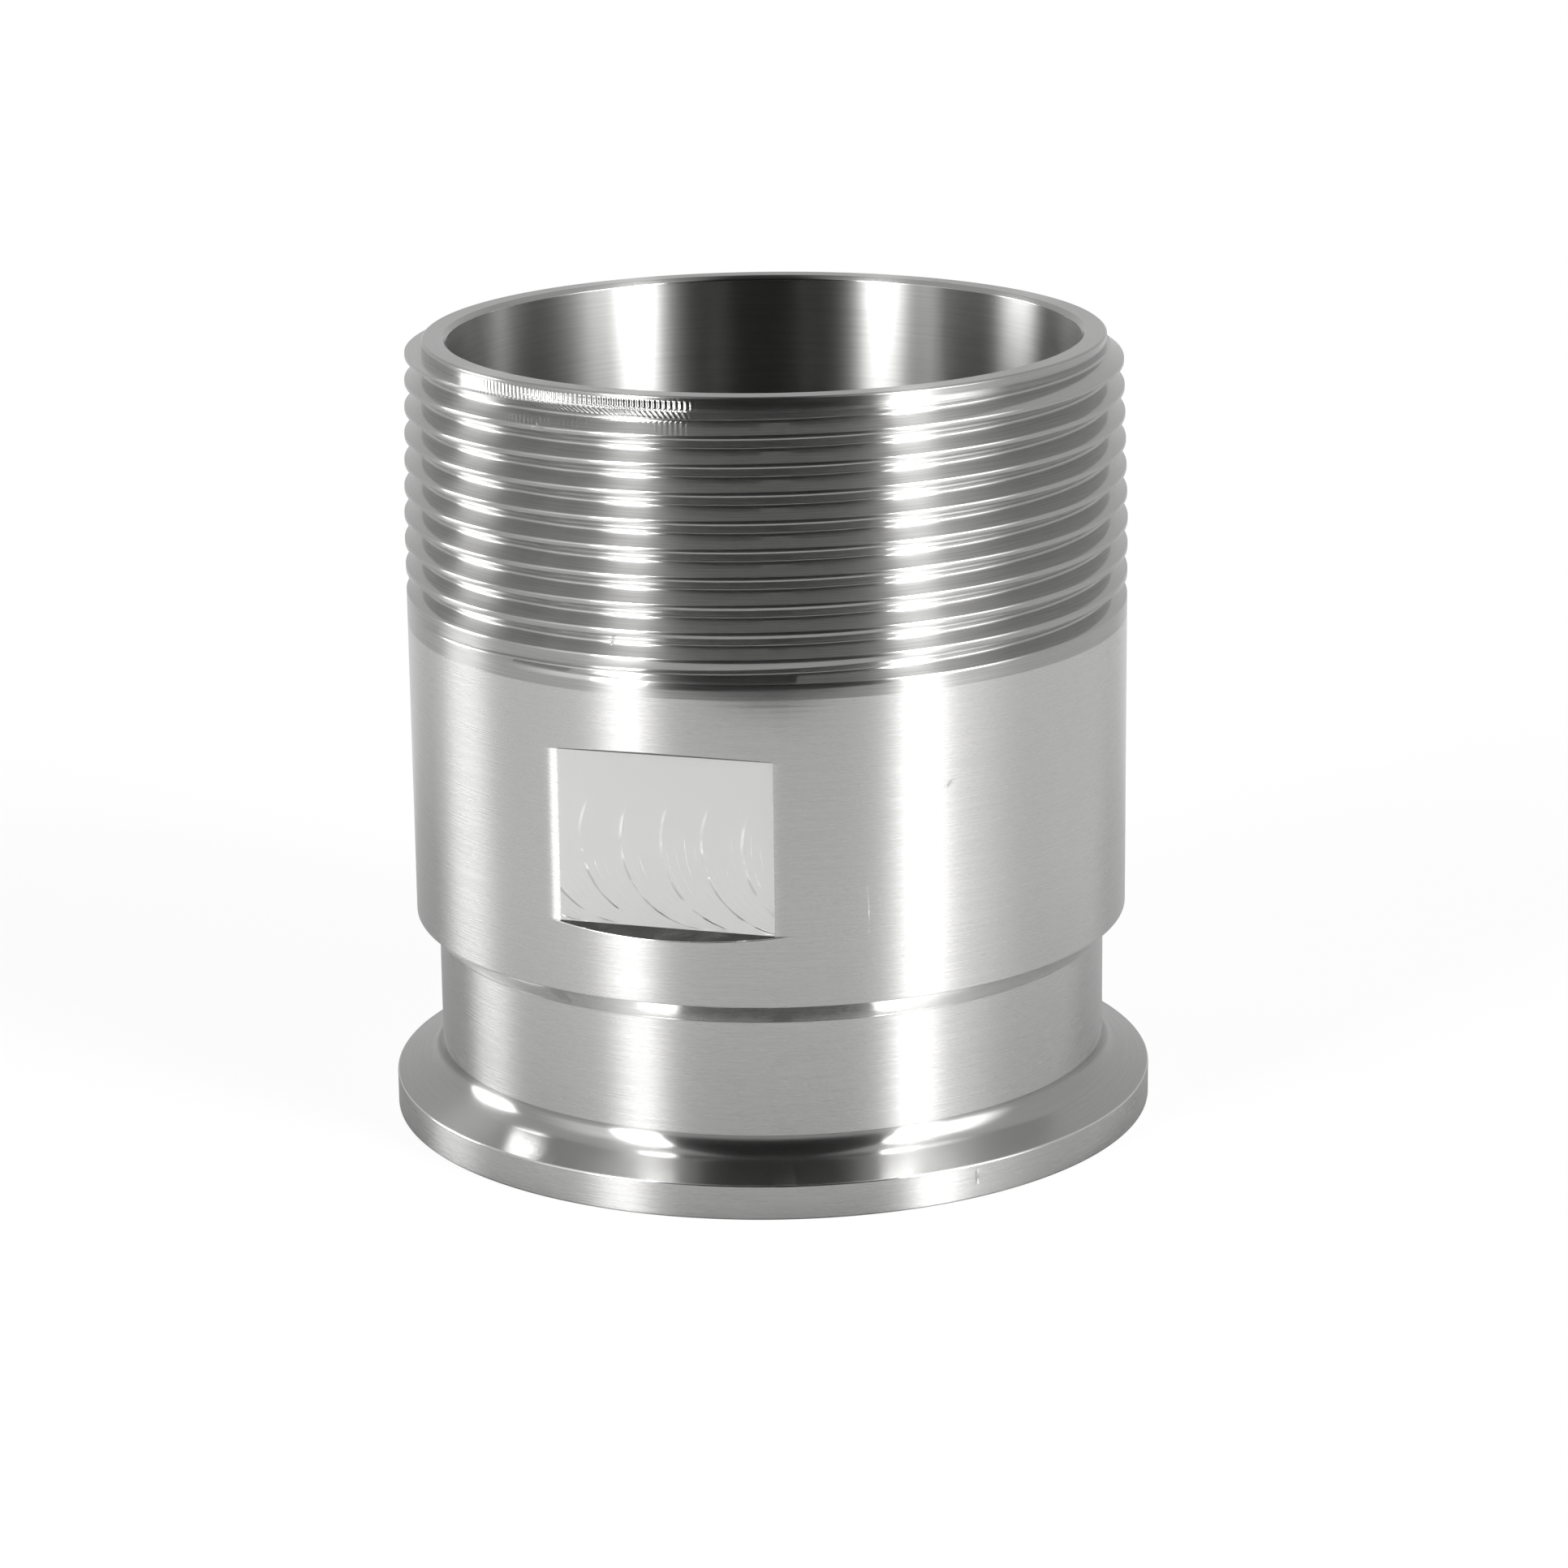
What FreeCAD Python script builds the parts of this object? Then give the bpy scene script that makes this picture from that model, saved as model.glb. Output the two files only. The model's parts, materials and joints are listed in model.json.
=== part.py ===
import FreeCAD, Part
import math
import os

# Clamp ferrule to taper pipe thread adapter, turned from one bar of stainless steel.
# Millimetres and degrees. The origin is the middle of the clamp face, and +Z runs up
# the bore to the threaded end. Radial sizes stack up from the bore outwards, and
# lengths stack up from the clamp face. The threaded end is turned to its crests.

# Radial sizes
BORE_D = 52.0            # straight bore through the whole part
NECK_WALL = 2.05         # wall of the neck above the clamp flange
FLANGE_LIP = 3.95        # how far the flange stands out from the neck
SHOULDER_STEP = 1.86     # how far the body stands out from the neck
BORE_EDGE = 0.36         # chamfer at both mouths of the bore

# Clamp flange
RIM_HEIGHT = 2.85        # flange thickness at its rim, before its edges are broken
RIM_EDGE = 0.12          # chamfer on both edges of the rim
BACK_ANGLE = 20.0        # slope of the flange's back, which the clamp pulls on
NECK_FILLET = 2.0        # inside radius between that back and the neck

# Gasket groove in the clamp face
GROOVE_LAND = 0.29       # flat ring between the bore's chamfer and the groove
GROOVE_WIDTH = 3.2       # at the clamp face
GROOVE_FLOOR = 1.2       # flat at the bottom, between the sloping sides
GROOVE_DEPTH = 1.6

# Lengths along the bore
NECK_LENGTH = 15.2       # clamp face to the foot of the shoulder
SHOULDER_ANGLE = 45.0    # slope of the shoulder from the horizontal
BODY_LENGTH = 48.54      # head of the shoulder to the pipe end

# Wrench flats, milled into opposite sides of the body
FLAT_DEPTH = 1.57        # cut below the body's surface
FLAT_HEIGHT = 14.0
FLAT_ABOVE_SHOULDER = 5.94
FLAT_ANGLE = -106.9      # which way the first flat faces, from +X towards +Y
FLAT_COUNT = 2

# Taper pipe thread
CREST_DROP = 0.46        # the end crest lies this far below the body's surface
THREAD_DEPTH = 1.33      # crest to root
THREAD_TAPER = 1.0 / 32.0    # growth of the radius for each millimetre down

# Plain nose ahead of the first thread
NOSE_HEIGHT = 0.94
NOSE_UNDER_ROOT = 0.03   # the nose is turned just below the thread's root
NOSE_EDGE = 0.15         # chamfer round the nose

# Radii and heights that follow
BORE_R = BORE_D / 2
NECK_R = BORE_R + NECK_WALL
RIM_R = NECK_R + FLANGE_LIP
BODY_R = NECK_R + SHOULDER_STEP
CREST_R = BODY_R - CREST_DROP
NOSE_R = CREST_R - THREAD_DEPTH - NOSE_UNDER_ROOT
SHOULDER_Z = NECK_LENGTH + SHOULDER_STEP * math.tan(math.radians(SHOULDER_ANGLE))
END_Z = SHOULDER_Z + BODY_LENGTH
NOSE_Z = END_Z - NOSE_HEIGHT


def point(radius, height):
    """A point of the turned outline, in the XZ plane."""
    return FreeCAD.Vector(radius, 0, height)


def lines_through(points):
    """Straight edges from each point to the next."""
    return [Part.makeLine(a, b) for a, b in zip(points, points[1:])]


def clamp_face():
    """Points across the clamp face from the bore to the rim, round the gasket groove."""
    mouth = BORE_R + BORE_EDGE + GROOVE_LAND
    side = (GROOVE_WIDTH - GROOVE_FLOOR) / 2
    return [
        point(BORE_R, BORE_EDGE),
        point(BORE_R + BORE_EDGE, 0),
        point(mouth, 0),
        point(mouth + side, GROOVE_DEPTH),
        point(mouth + side + GROOVE_FLOOR, GROOVE_DEPTH),
        point(mouth + GROOVE_WIDTH, 0),
        point(RIM_R - RIM_EDGE, 0),
        point(RIM_R, RIM_EDGE),
    ]


def flange_back():
    """Points from the top of the rim to the start of the fillet, and the fillet's arc.

    The back rises towards the neck at its own slope, and the arc is tangent to both.
    """
    slope = math.radians(BACK_ANGLE)
    centre_r = NECK_R + NECK_FILLET
    back_z = RIM_HEIGHT + (RIM_R - centre_r) * math.tan(slope)
    centre_z = back_z + NECK_FILLET / math.cos(slope)

    def on_arc(angle):
        return point(centre_r + NECK_FILLET * math.cos(angle),
                     centre_z + NECK_FILLET * math.sin(angle))

    start = -math.pi / 2 - slope
    arc = Part.Arc(on_arc(start), on_arc((start - math.pi) / 2), on_arc(-math.pi)).toShape()
    back = [
        point(RIM_R, RIM_HEIGHT - RIM_EDGE),
        point(RIM_R - RIM_EDGE, RIM_HEIGHT + RIM_EDGE * math.tan(slope)),
        on_arc(start),
    ]
    return back, arc


def body_and_bore():
    """Points from the fillet up the outside, over the pipe end and down the bore.

    The crests of the thread lie on a cone that grows downwards until it meets the body.
    """
    cone_foot = END_Z - CREST_DROP / THREAD_TAPER
    return [
        point(NECK_R, NECK_LENGTH),
        point(BODY_R, SHOULDER_Z),
        point(BODY_R, cone_foot),
        point(CREST_R + THREAD_TAPER * NOSE_HEIGHT, NOSE_Z),
        point(NOSE_R, NOSE_Z),
        point(NOSE_R, END_Z - NOSE_EDGE),
        point(NOSE_R - NOSE_EDGE, END_Z),
        point(BORE_R + BORE_EDGE, END_Z),
        point(BORE_R, END_Z - BORE_EDGE),
        point(BORE_R, BORE_EDGE),
    ]


def turned_blank():
    """The whole turned shape, revolved about the bore."""
    back, fillet = flange_back()
    below = lines_through(clamp_face() + back)
    above = lines_through([fillet.Vertexes[-1].Point] + body_and_bore())
    outline = Part.Wire(below + [fillet] + above)
    return Part.Face(outline).revolve(point(0, 0), FreeCAD.Vector(0, 0, 1), 360)


def wrench_flat(angle):
    """A block that mills one flat, with square ledges above and below it."""
    flat_x = BODY_R - FLAT_DEPTH
    block = Part.makeBox(2 * FLAT_DEPTH, 2 * BODY_R, FLAT_HEIGHT,
                         FreeCAD.Vector(flat_x, -BODY_R, SHOULDER_Z + FLAT_ABOVE_SHOULDER))
    block.rotate(point(0, 0), FreeCAD.Vector(0, 0, 1), angle)
    return block


def adapter_body():
    """The finished adapter, one solid."""
    body = turned_blank()
    for i in range(FLAT_COUNT):
        body = body.cut(wrench_flat(FLAT_ANGLE + 360 * i / FLAT_COUNT))
    return body


os.makedirs("parts", exist_ok=True)
adapter = adapter_body()
solid = adapter.Solids[0]
solid.exportStep("parts/adapter_body.step")
print("solids", len(adapter.Solids), "valid", solid.isValid(), "faces", len(solid.Faces))
print("size", [round(x, 3) for x in (solid.BoundBox.XLength, solid.BoundBox.YLength,
                                     solid.BoundBox.ZLength)])
print("volume cm3", round(solid.Volume / 1000, 3))
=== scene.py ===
# %% [markdown]
# The part is a sanitary clamp ferrule whose other end carries a taper pipe thread. The
# real one is turned in one piece from a stainless steel bar, then two flats are milled
# for the spanner. The solid model gives its place and main sizes, and this script makes
# the mesh that is seen: every edge break, the full thread and the marks of the tools.

# %% Load the frame
import json
import math
import bmesh
import bpy
import numpy as np
from mathutils import Matrix, Vector


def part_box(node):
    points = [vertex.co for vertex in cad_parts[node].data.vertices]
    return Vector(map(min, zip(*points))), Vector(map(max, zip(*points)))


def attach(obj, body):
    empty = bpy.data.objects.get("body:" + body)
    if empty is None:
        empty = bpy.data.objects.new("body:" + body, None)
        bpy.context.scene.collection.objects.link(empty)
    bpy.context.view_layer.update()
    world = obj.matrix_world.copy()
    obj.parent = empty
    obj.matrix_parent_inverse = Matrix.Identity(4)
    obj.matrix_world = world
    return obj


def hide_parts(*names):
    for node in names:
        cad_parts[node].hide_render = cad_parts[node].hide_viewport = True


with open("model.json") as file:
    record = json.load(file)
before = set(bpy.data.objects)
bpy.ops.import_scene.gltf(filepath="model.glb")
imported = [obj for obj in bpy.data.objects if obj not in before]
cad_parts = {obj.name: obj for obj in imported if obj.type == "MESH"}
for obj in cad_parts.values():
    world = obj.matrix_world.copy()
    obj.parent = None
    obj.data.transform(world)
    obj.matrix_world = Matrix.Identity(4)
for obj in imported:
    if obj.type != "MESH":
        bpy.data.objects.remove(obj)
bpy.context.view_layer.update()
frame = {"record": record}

MM = 0.001               # in metres

# %% [markdown]
# Sizes come from two places. What other parts mate with is read from the model: the
# flange, the bore, the flats and the overall height. What only the eye can tell, such
# as how far an edge is broken, is a named value here, in millimetres.

# %% Read the main sizes from the frame
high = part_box("adapter_body")[1]
mounts = {mount["name"]: mount for mount in frame["record"]["mounts"]}
RIM_R = high.x / MM
END_Z = high.z / MM
BORE_R = mounts["bore"]["dims"]["r_mm"]
flat_place = Vector(mounts["wrench_flat_1"]["pos_m"]) / MM
flat_facing = Vector(mounts["wrench_flat_1"]["axis"])
FLAT_R = flat_place.dot(flat_facing)
FLAT_ANGLE = math.degrees(math.atan2(flat_facing.y, flat_facing.x))
FLAT_MID_Z = flat_place.z
print("rim radius", round(RIM_R, 3), "height", round(END_Z, 3), "bore", BORE_R)
print("flat", round(FLAT_R, 3), "from the axis, facing", round(FLAT_ANGLE, 2), "degrees")

# %% [markdown]
# A turned part is a stack of radii and heights. These are the ones that the mounts do
# not carry. Heights count up from the clamp face.

# %% Name the turned sizes
NECK_R = 28.05
BODY_R = 29.91
NECK_TOP_Z = 15.2
SHOULDER_Z = NECK_TOP_Z + BODY_R - NECK_R      # the shoulder slopes at 45 degrees
RIM_HEIGHT = 2.85
BACK_ANGLE = 20                                # degrees that the flange's back slopes
FILLET_R = 2.0
GROOVE_R = 1.6                                 # half-round gasket groove
GROOVE_MIDDLE_R = 28.25
GROOVE_END = 4                                 # degrees of it that its edge break takes
BORE_EDGE = 0.36
RIM_EDGE = 0.12
FLAT_HALF_HEIGHT = 7.0
print("shoulder ends at", round(SHOULDER_Z, 2), "mm")

# %% [markdown]
# The pipe thread is a 60 degree V at 11.5 turns to the inch, cut on a cone that widens
# by 1 in 32 downwards. The crests were left flat by the turned cone, the roots are round
# like the tip of the tool, and low down the cut runs out as the tool draws back.

# %% Name the thread's sizes
PITCH = 25.4 / 11.5
CREST_FLAT = 0.355
ROOT_RADIUS = 0.225
CREST_END_R = 29.43                            # crest radius at the pipe end
TAPER = 1 / 32
RUNOUT_Z = 43.41                               # where the cut starts, on the left
RUNOUT_TURNS = 1 / 3                           # until the cut has its full depth
CREST_BREAK = 0.035                            # rounding of each crest's corners
SHUT_MOUTH = 0.03                              # least half width of a cut that fades out
FOOT_PITCHES = 0.6                             # from the runout down to the thread's foot
NOSE_R = 28.09
NOSE_LENGTH = 0.94
NOSE_Z = END_Z - NOSE_LENGTH
mouth_half = (PITCH - CREST_FLAT) / 2
root_depth = mouth_half * math.sqrt(3) - ROOT_RADIUS
THREAD_LOW_Z = RUNOUT_Z - FOOT_PITCHES * PITCH
print("pitch", round(PITCH, 4), "root depth", round(root_depth, 3), "mm")

# %% [markdown]
# All rings of the mesh share one set of columns, so that the thread and the turned
# surfaces meet point to point. One column a degree is smooth enough, and the sides of
# the flats get more, because the light bends round them within a millimetre.

# %% Space the columns round the part
SIDE_REACH = 1.5                               # degrees with close columns, to each side
SIDE_STEP = 0.25
SIDE_CLEAR = 1.7                               # the even columns stay this far from a side
flat_half_angle = math.degrees(math.acos(FLAT_R / BODY_R))


def wrapped(angle):
    """The same angle in degrees, from -180 up to 180."""
    return (angle + 180) % 360 - 180


flat_sides = [wrapped(FLAT_ANGLE + turn + side * flat_half_angle)
              for turn in (0, 180) for side in (-1, 1)]
close_steps = np.arange(-SIDE_REACH, SIDE_REACH + SIDE_STEP / 2, SIDE_STEP)
close_columns = [side + step for side in flat_sides for step in close_steps]
even_columns = [float(a) for a in range(-180, 180)
                if min(abs(a - side) for side in flat_sides) > SIDE_CLEAR]
columns = np.array(sorted(even_columns + close_columns))
print(len(columns), "columns")

# %% [markdown]
# Node trees for shapes, materials and the world are all built by one small function. It
# adds a node, sets its properties, and gives each input a value or a link.

# %% Add a node


def add(tree, kind, inputs=None, **settings):
    """Adds one node. An input takes a value, a socket, or a node's first output."""
    node = tree.nodes.new(kind)
    for name, value in settings.items():
        setattr(node, name, value)
    for key, value in (inputs or {}).items():
        if isinstance(value, bpy.types.Node):
            value = value.outputs[0]
        if isinstance(value, bpy.types.NodeSocket):
            tree.links.new(value, node.inputs[key])
        else:
            node.inputs[key].default_value = value
    return node


# %% [markdown]
# Stainless steel is a grey metal with hardly any tint. Its colours are written as sRGB
# hex values, the way a colour picker shows them, and one function turns them to the
# linear values that the shader works in.

# %% Turn hex colours to linear


def linear(hex_colour):
    """An sRGB hex colour as linear red, green, blue and alpha."""
    parts = [int(hex_colour[i:i + 2], 16) / 255 for i in (1, 3, 5)]
    return [c / 12.92 if c <= 0.04045 else ((c + 0.055) / 1.055) ** 2.4 for c in parts] + [1]


BRIGHT_STEEL = "#CDCDCC"
print("bright steel in linear", [round(c, 3) for c in linear(BRIGHT_STEEL)[:3]])

# %% [markdown]
# Turned steel reflects in two ways at once. Its polished skin mirrors the room almost
# sharply. The fine scratches that run round it smear a share of the light along the
# part's outline, and that share turns each lamp into a tall white streak. So every finish
# mixes two metal shaders, a polished one and a scratched one. Their tangent runs round the
# bore, as the grooves do, and a quarter turn smears the light across the grooves.

# %% Make steel
ACROSS_GROOVES = 0.25                          # of a turn


def steel(name, colour, polish, scratch, share):
    """A steel material: roughness of its polish and its scratches, and the scratches' share."""
    material = bpy.data.materials.new(name)
    material.use_nodes = True
    tree = material.node_tree
    tree.nodes.clear()
    where = add(tree, "ShaderNodeTexCoord").outputs["Object"]
    place = add(tree, "ShaderNodeVectorMath", {0: where, "Scale": 1 / MM}, operation="SCALE")
    around = add(tree, "ShaderNodeVectorMath", {0: (0, 0, 1), 1: place},
                 operation="CROSS_PRODUCT")
    groove_way = add(tree, "ShaderNodeVectorMath", {0: around}, operation="NORMALIZE")
    shaders = [add(tree, "ShaderNodeBsdfPrincipled", {
        "Base Color": linear(colour), "Metallic": 1.0, "Roughness": roughness,
        "Anisotropic": 1.0, "Anisotropic Rotation": ACROSS_GROOVES, "Tangent": groove_way})
        for roughness in (polish, scratch)]
    mix = add(tree, "ShaderNodeMixShader", {0: share, 1: shaders[0], 2: shaders[1]})
    add(tree, "ShaderNodeOutputMaterial", {"Surface": mix})
    return material, tree, place, shaders, mix


# %% [markdown]
# The grooves are too fine to model, so they are a pattern: noise that is long round the
# part and short along its outline. The pattern's third axis mixes height and radius, so
# that it changes on every slope. Real feed marks are about 0.05 mm apart, which no render
# of the whole part can show, so the lines are drawn 0.15 to 0.25 mm wide.

# %% Lay a pattern along the grooves
RADIUS_SHARE = -1.37                           # of the radius, added to the height


def along_outline(tree, place, length, width):
    """Pattern coordinates, long round the part and short along its outline, in mm."""
    axes = add(tree, "ShaderNodeSeparateXYZ", {0: place}).outputs
    flat = add(tree, "ShaderNodeCombineXYZ", {0: axes[0], 1: axes[1]})
    radius = add(tree, "ShaderNodeVectorMath", {0: flat}, operation="LENGTH").outputs["Value"]
    outline = add(tree, "ShaderNodeMath", {0: radius, 1: RADIUS_SHARE, 2: axes[2]},
                  operation="MULTIPLY_ADD")
    across = add(tree, "ShaderNodeMath", {0: outline, 1: 1 / width}, operation="MULTIPLY")
    up = add(tree, "ShaderNodeCombineXYZ", {2: across})
    around = add(tree, "ShaderNodeVectorMath", {0: flat, "Scale": 1 / length},
                 operation="SCALE")
    return add(tree, "ShaderNodeVectorMath", {0: around, 1: up}, operation="ADD")


# %% [markdown]
# A turned finish has lines where the scratches lie closer, and shallow grooves that bend
# the light a little. Marks of use, such as a knock or a scratch, are small pits on top of
# them. Each pit is an ellipse on the unrolled surface, with its own place, size and lean.

# %% Add the lathe's marks and the marks of use
LINE_LENGTH = 7.0
GROOVE_LENGTH = 16.0
GROOVE_TO_LINE = 1.6                           # a groove's width over a line's
PIT_DEPTH = 0.03


def turned_finish(name, colour, polish, scratch, share, line, height, uneven, marks=()):
    """Turned steel: width of its visible lines and height of its grooves, in mm."""
    material, tree, place, shaders, mix = steel(name, colour, polish, scratch, share)
    lines = add(tree, "ShaderNodeTexNoise", {
        "Vector": along_outline(tree, place, LINE_LENGTH, line), "Scale": 1.0, "Detail": 2.0})
    scratched = add(tree, "ShaderNodeMapRange", {
        "Value": lines.outputs[0], "From Min": 0.3, "From Max": 0.7,
        "To Min": (1 - uneven) * share, "To Max": (1 + uneven) * share})
    tree.links.new(scratched.outputs[0], mix.inputs[0])
    grooves = add(tree, "ShaderNodeTexNoise", {
        "Vector": along_outline(tree, place, GROOVE_LENGTH, GROOVE_TO_LINE * line),
        "Scale": 1.0, "Detail": 2.0})
    bump = add(tree, "ShaderNodeBump", {"Height": grooves.outputs[0], "Distance": height * MM})
    axes = add(tree, "ShaderNodeSeparateXYZ", {0: place}).outputs
    angle = add(tree, "ShaderNodeMath", {0: axes[1], 1: axes[0]}, operation="ARCTAN2")
    round_mm = add(tree, "ShaderNodeMath", {0: angle, 1: BODY_R}, operation="MULTIPLY")
    unrolled = add(tree, "ShaderNodeCombineXYZ", {0: round_mm, 1: axes[2]})
    for facing, up, half_length, half_width, lean in marks:
        local = add(tree, "ShaderNodeMapping", {
            "Vector": unrolled, "Location": (math.radians(facing) * BODY_R, up, 0),
            "Rotation": (0, 0, math.radians(lean)), "Scale": (half_length, half_width, 1)},
            vector_type="TEXTURE")
        far = add(tree, "ShaderNodeVectorMath", {0: local}, operation="LENGTH").outputs["Value"]
        pit = add(tree, "ShaderNodeMapRange", {
            "Value": far, "From Min": 0.3, "From Max": 1.0, "To Min": -1.0, "To Max": 0.0})
        bump = add(tree, "ShaderNodeBump", {
            "Height": pit, "Distance": PIT_DEPTH * MM, "Normal": bump})
    for shader in shaders:
        tree.links.new(bump.outputs[0], shader.inputs["Normal"])
    return material, tree, place, shaders, bump


# %% [markdown]
# Four finishes come from the lathe. The outside is polished after turning, so it mirrors
# sharply and its streaks are clean. The bore is as the boring bar left it, so its streaks
# are broad, and its grey, darker than the body's, is painted shade inside it. The faces and
# the fillet are cut across and look a little dull. The thread is not polished: its flanks
# are scratched, and its grey, darker than the body's, is painted shade in its grooves.

# %% Name the marks and make the turned finishes
body_marks = (                                 # facing, height, half sizes and lean
    (-59.5, 1.8, 0.75, 0.16, 90),              # a knock on the rim
    (-62.0, 34.2, 0.80, 0.10, 45),             # a short scratch
    (-75.2, 24.7, 2.00, 0.05, 92))             # a hairline
thread_marks = (
    (-126.5, 62.5, 0.80, 0.30, -12),           # a nick in the second crest
    (-115.0, 45.9, 0.14, 0.14, 0))             # a small pit
turned = turned_finish(
    "turned_stainless_steel", BRIGHT_STEEL, polish=0.05, scratch=0.42, share=0.25,
    line=0.2, height=0.0009, uneven=0.12, marks=body_marks)[0]
# the bore's grey, darker than the body's, is painted shade inside it
bored = turned_finish(
    "bored_stainless_steel", "#A4A4A3", polish=0.08, scratch=0.36, share=0.75,
    line=0.25, height=0.0, uneven=0.06)[0]
faced = turned_finish(
    "faced_stainless_steel", "#A3A3A2", polish=0.15, scratch=0.42, share=0.18,
    line=0.2, height=0.0004, uneven=0.3)[0]
# the thread's grey, darker than the body's, is painted shade in its grooves
threaded, tree, place, shaders, bump = turned_finish(
    "thread_cut_stainless_steel", "#AEAEAD", polish=0.07, scratch=0.35, share=0.36,
    line=0.15, height=0.0003, uneven=0.2, marks=thread_marks)
print(len(body_marks) + len(thread_marks), "marks of use")

# %% [markdown]
# The tool chattered as it turned the nose, and left a row of small ticks on its left side.
# They are a wave round the part, kept inside a window of angle and height. The window is
# made by a helper that also shapes the lights later on.

# %% Add the chatter on the nose
CHATTER_STEP = 0.45                            # mm from tick to tick
CHATTER_R = 29.4                               # where that step is measured
CHATTER_DEPTH = 0.02
CHATTER_HEIGHTS = (64.0, 65.1)
HEIGHTS_SOFT = (0.2, 0.15)                     # mm over which the ticks fade, below and above
CHATTER_ANGLES = (-128, -104)                  # degrees, as seen from above
ANGLES_SOFT = (22, 4)                          # degrees over which they fade at each end


def band(tree, value, low, high, low_soft, high_soft):
    """1 between two values and 0 outside, with a soft or a sharp edge at each."""
    rise = add(tree, "ShaderNodeMapRange", {
        "Value": value, "From Min": low - low_soft, "From Max": low},
        interpolation_type="SMOOTHSTEP")
    fall = add(tree, "ShaderNodeMapRange", {
        "Value": value, "From Min": high, "From Max": high + high_soft,
        "To Min": 1.0, "To Max": 0.0}, interpolation_type="SMOOTHSTEP")
    return add(tree, "ShaderNodeMath", {0: rise, 1: fall}, operation="MULTIPLY")


tick_count = 2 * math.pi * CHATTER_R / CHATTER_STEP
axes = add(tree, "ShaderNodeSeparateXYZ", {0: place}).outputs
angle = add(tree, "ShaderNodeMath", {0: axes[1], 1: axes[0]}, operation="ARCTAN2")
degrees = add(tree, "ShaderNodeMath", {0: angle}, operation="DEGREES")
phase = add(tree, "ShaderNodeMath", {0: angle, 1: tick_count}, operation="MULTIPLY")
wave = add(tree, "ShaderNodeMath", {0: phase}, operation="SINE")
height_window = band(tree, axes[2], *CHATTER_HEIGHTS, *HEIGHTS_SOFT)
angle_window = band(tree, degrees, *CHATTER_ANGLES, *ANGLES_SOFT)
window = add(tree, "ShaderNodeMath", {0: height_window, 1: angle_window}, operation="MULTIPLY")
ticks = add(tree, "ShaderNodeMath", {0: wave, 1: window}, operation="MULTIPLY")
chatter = add(tree, "ShaderNodeBump", {
    "Height": ticks, "Distance": CHATTER_DEPTH * MM, "Normal": bump})
for shader in shaders:
    tree.links.new(chatter.outputs[0], shader.inputs["Normal"])
print(round(tick_count), "ticks would go all the way round")

# %% [markdown]
# The flats were cut by an end mill as wide as they are tall. Its teeth leave arcs of the
# cutter's own radius, one after another along the feed, and this finish draws them: the
# distance along the flat, plus the arc's own bend at that height, is the same all along
# one arc, so a saw wave of that distance is a row of arcs. The deep arcs show low down,
# where the cutter lingered. Real fine arcs are closer than these, which have to show.

# %% Draw the cutter's arcs
CUTTER_R = 7.0
BEND_MARGIN = 0.1                              # mm2, so that the root below stays real
FEED_MARK = 3.35                               # mm from one deep arc to the next
FINE_TO_A_DEEP = 4.3                           # fine arcs to each deep one
FINE_MARK = FEED_MARK / FINE_TO_A_DEEP
FINE_SHARE = 0.10                              # of a deep arc's depth
DEEP_FROM = 0.92                               # an arc starts at this share of its mark
FINE_FROM = 0.5
milled, tree, place, shaders = steel(
    "milled_stainless_steel", "#DADAD9", polish=0.12, scratch=0.3, share=0.8)[:4]
swung = add(tree, "ShaderNodeMapping", {
    "Vector": place, "Location": (0, 0, -FLAT_MID_Z),
    "Rotation": (0, 0, math.radians(-FLAT_ANGLE))})
along, up = add(tree, "ShaderNodeSeparateXYZ", {0: swung}).outputs[1:]
squared = add(tree, "ShaderNodeMath", {0: up, 1: up}, operation="MULTIPLY")
left = add(tree, "ShaderNodeMath", {0: CUTTER_R ** 2 + BEND_MARGIN, 1: squared},
           operation="SUBTRACT")
bend = add(tree, "ShaderNodeMath", {0: left}, operation="SQRT")
fed = add(tree, "ShaderNodeMath", {0: along, 1: bend}, operation="ADD")
arcs = []
for spacing, cut_from in ((FEED_MARK, DEEP_FROM), (FINE_MARK, FINE_FROM)):
    marks_along = add(tree, "ShaderNodeMath", {0: fed, 1: 1 / spacing}, operation="MULTIPLY")
    part_of_mark = add(tree, "ShaderNodeMath", {0: marks_along}, operation="FRACT")
    arcs.append(add(tree, "ShaderNodeMapRange", {
        "Value": part_of_mark, "From Min": cut_from, "From Max": 1.0}))
deep_and_fine = add(tree, "ShaderNodeMath", {0: arcs[1], 1: FINE_SHARE, 2: arcs[0]},
                    operation="MULTIPLY_ADD")
print("deep arcs every", FEED_MARK, "mm, fine ones every", round(FINE_MARK, 2), "mm")

# %% [markdown]
# The arcs are worn away in patches, and a faint grain lies between them. The cutter turns
# every way over the flat, so this steel has no direction: it reflects softly and evenly,
# and the eye takes it for a matt, pale window in the bright body.

# %% Finish the flats
MILLED_DEPTH = 0.07
PATCH = 2.0                                    # mm across a worn patch
NO_ARCS_ABOVE = 3.0                            # mm over the flat's middle
ALL_ARCS_BELOW = -2.0
GRAIN_LENGTH = 5 / 3                           # mm, along the flat
GRAIN_WIDTH = 1 / 6                            # drawn this wide to show at all
GRAIN_SHARE = 0.04                             # of a deep arc's depth
worn = add(tree, "ShaderNodeTexNoise", {"Vector": place, "Scale": 1 / PATCH, "Detail": 2.0})
patches = add(tree, "ShaderNodeMapRange", {
    "Value": worn.outputs[0], "From Min": 0.4, "From Max": 0.6})
lower = add(tree, "ShaderNodeMapRange", {
    "Value": up, "From Min": NO_ARCS_ABOVE, "From Max": ALL_ARCS_BELOW})
shown = add(tree, "ShaderNodeMath", {0: patches, 1: lower}, operation="MULTIPLY")
cut = add(tree, "ShaderNodeMath", {0: deep_and_fine, 1: shown}, operation="MULTIPLY")
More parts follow.
